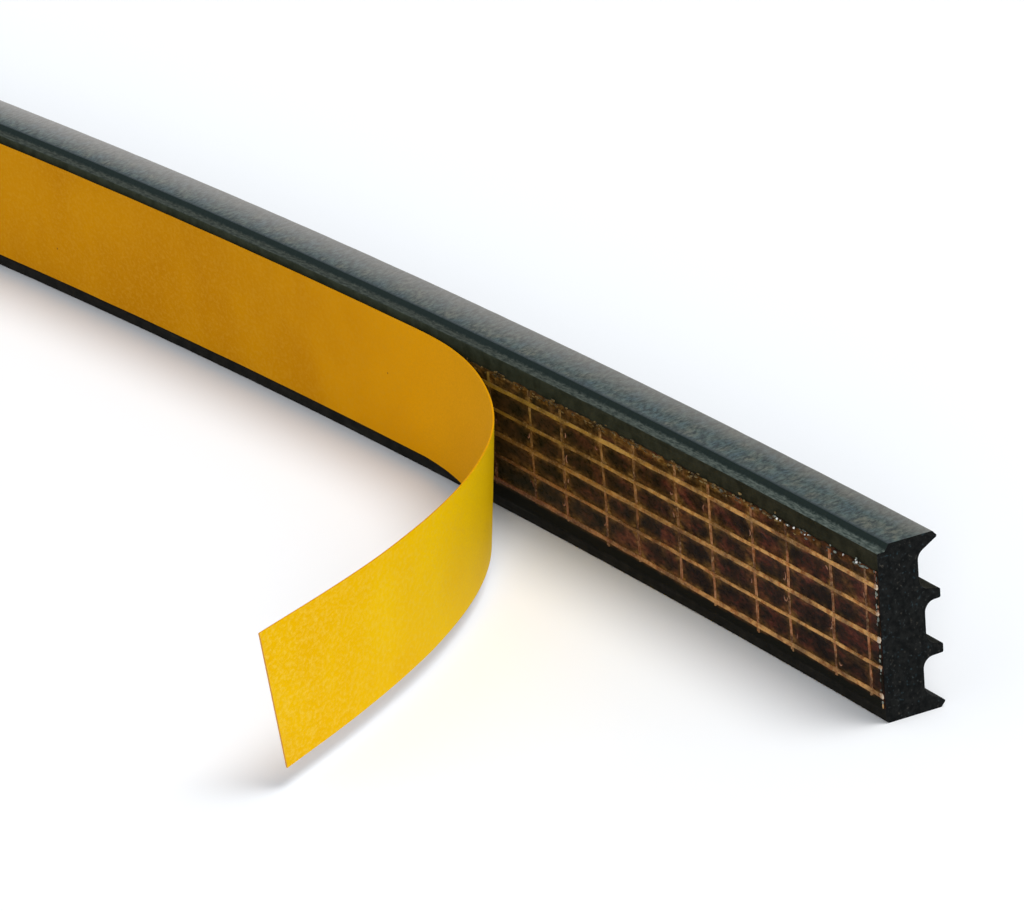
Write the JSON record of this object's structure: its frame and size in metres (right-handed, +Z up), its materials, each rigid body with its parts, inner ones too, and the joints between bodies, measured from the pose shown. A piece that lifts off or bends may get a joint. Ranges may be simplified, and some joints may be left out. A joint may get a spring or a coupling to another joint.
{
  "type": "self-adhesive rubber seal strip",
  "caption": "Length of black cellular rubber seal strip on edge, lipped on its back, with a reinforced adhesive face and a release liner peeled back at one end.",
  "frame": {"origin": "centre of the whole object's box in plan, on the surface that the strip stands on", "axes": "+X towards the peeled end, along the chord of the strip's bend; +Y away from the adhesive face; +Z up, across the strip's 15 mm width"},
  "size_m": [0.9812, 0.1324, 0.015],
  "materials": {
    "rubber": "black closed-cell rubber with a fine matt skin and foam cells on the cut ends",
    "adhesive": "tacky, glossy, brown-black where the rubber shows through it",
    "scrim": "tan glassy yarns soaked in adhesive",
    "liner": "yellow coated paper, satin"
  },
  "bodies": {
    "root": {"rubber_profile": "rubber", "adhesive_film": "adhesive", "reinforcing_scrim": "scrim", "release_liner": "liner"}
  },
  "joints": []
}
